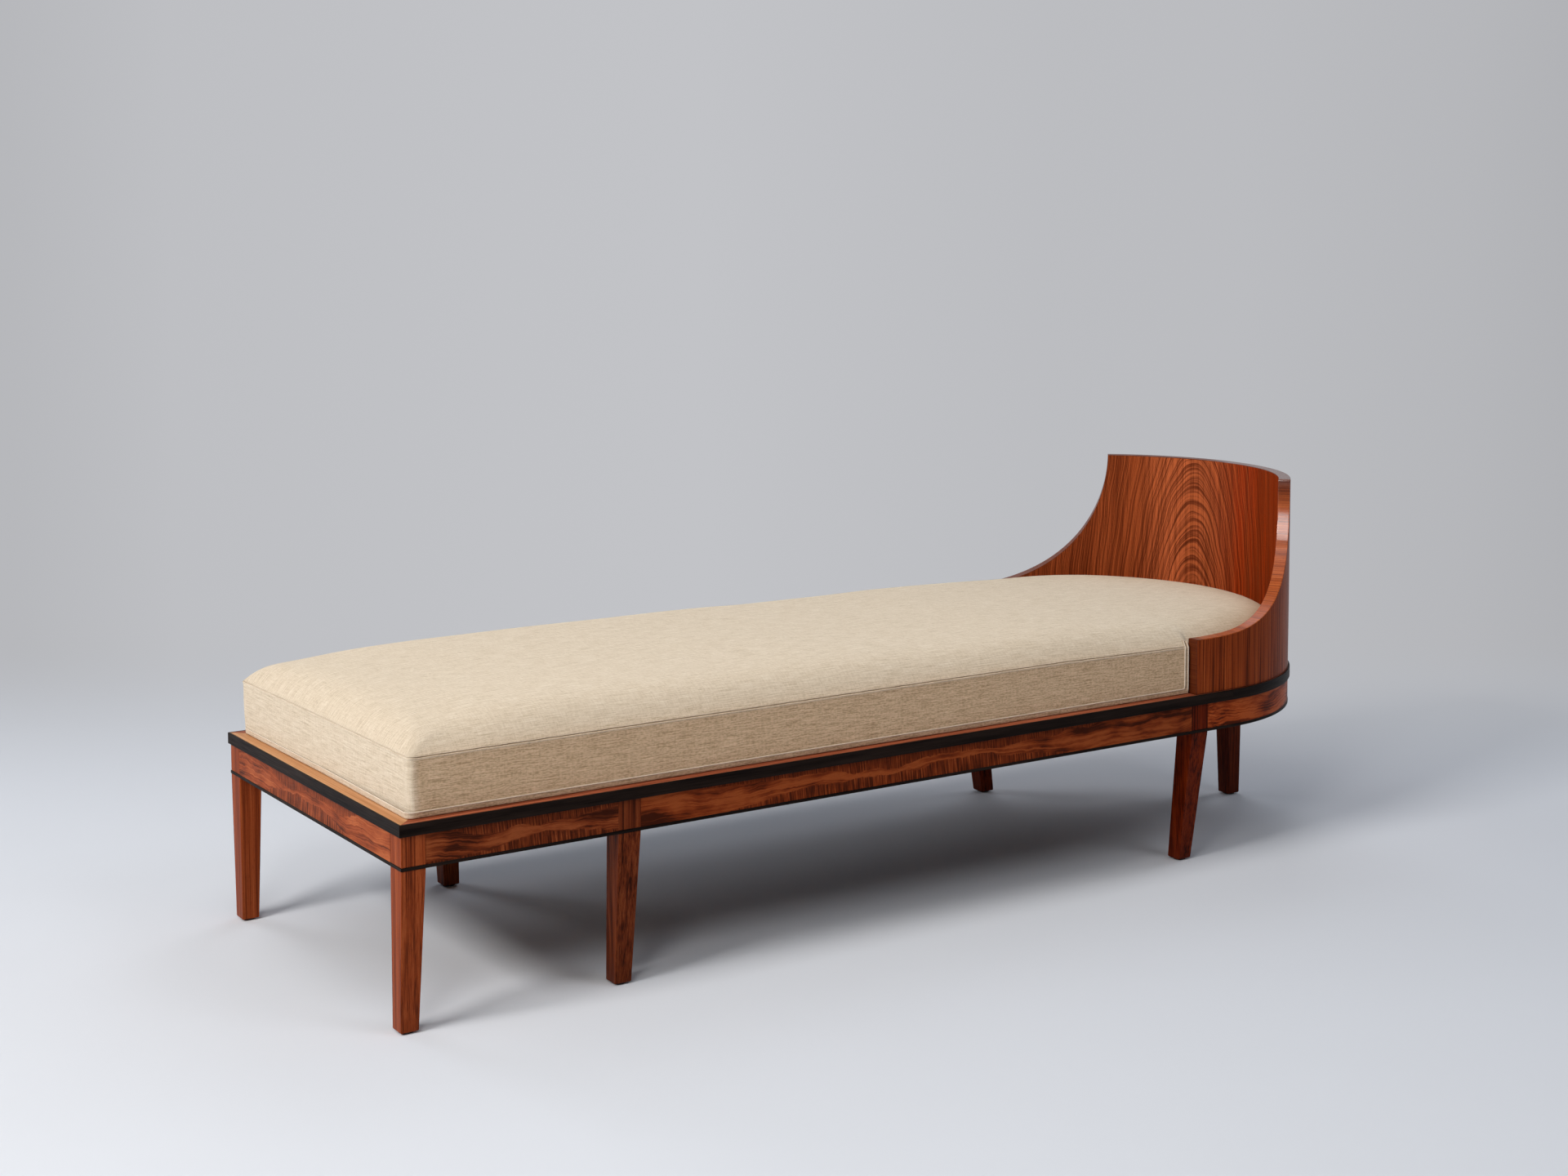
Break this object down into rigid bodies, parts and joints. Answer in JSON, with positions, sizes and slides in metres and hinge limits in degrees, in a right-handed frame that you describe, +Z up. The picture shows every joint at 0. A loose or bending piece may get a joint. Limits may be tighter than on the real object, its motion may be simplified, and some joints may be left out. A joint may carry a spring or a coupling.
{
  "type": "recamier",
  "caption": "Day bed with a long crowned pad on a rosewood frame, tapered square legs, and a bent headboard that wraps the round head end.",
  "frame": {"origin": "on the floor, under the middle of the frame's outline", "axes": "+X along the length to the round head end, +Y to the far side of the picture, +Z up"},
  "size_m": [2.047, 0.72, 0.6946],
  "materials": {
    "rosewood": "satin polished veneer",
    "headboard_veneer": "satin polished crown-cut veneer",
    "ebonised": "satin black stain",
    "beech": "planed, unfinished",
    "plywood": "stained dark",
    "linen": "woven linen twill",
    "felt": "pressed felt"
  },
  "bodies": {
    "root": {"leg_foot_near": "rosewood", "glide_foot_near": "felt", "leg_foot_far": "rosewood", "glide_foot_far": "felt", "leg_mid_near": "rosewood", "glide_mid_near": "felt", "leg_mid_far": "rosewood", "glide_mid_far": "felt", "leg_head_near": "rosewood", "glide_head_near": "felt", "leg_head_far": "rosewood", "glide_head_far": "felt", "leg_rear": "rosewood", "glide_rear": "felt", "rail_foot_bay_near": "rosewood", "rail_foot_bay_far": "rosewood", "rail_mid_bay_near": "rosewood", "rail_mid_bay_far": "rosewood", "rail_bow_near": "rosewood", "rail_bow_far": "rosewood", "rail_foot": "rosewood", "cross_rail_mid": "beech", "cross_rail_head": "beech", "bearer_head": "beech", "cleat_foot": "beech", "corner_block_near": "beech", "corner_block_far": "beech", "cleat_foot_bay_near": "beech", "cleat_foot_bay_far": "beech", "cleat_mid_bay_near": "beech", "cleat_mid_bay_far": "beech", "glue_block_1_near": "beech", "glue_block_1_far": "beech", "glue_block_2_near": "beech", "glue_block_2_far": "beech", "band_near": "ebonised", "band_far": "ebonised", "band_foot": "ebonised", "band_head": "ebonised", "strip_near": "ebonised", "strip_far": "ebonised", "strip_foot": "ebonised", "strip_head": "ebonised", "headboard": "headboard_veneer", "top_board_near": "rosewood", "top_board_far": "rosewood", "top_board_foot": "rosewood", "top_board_head_1": "rosewood", "top_board_head_2": "rosewood", "top_board_head_3": "rosewood", "deck_main": "plywood", "deck_head": "plywood", "pad": "linen", "pad_hem": "linen"}
  },
  "joints": []
}
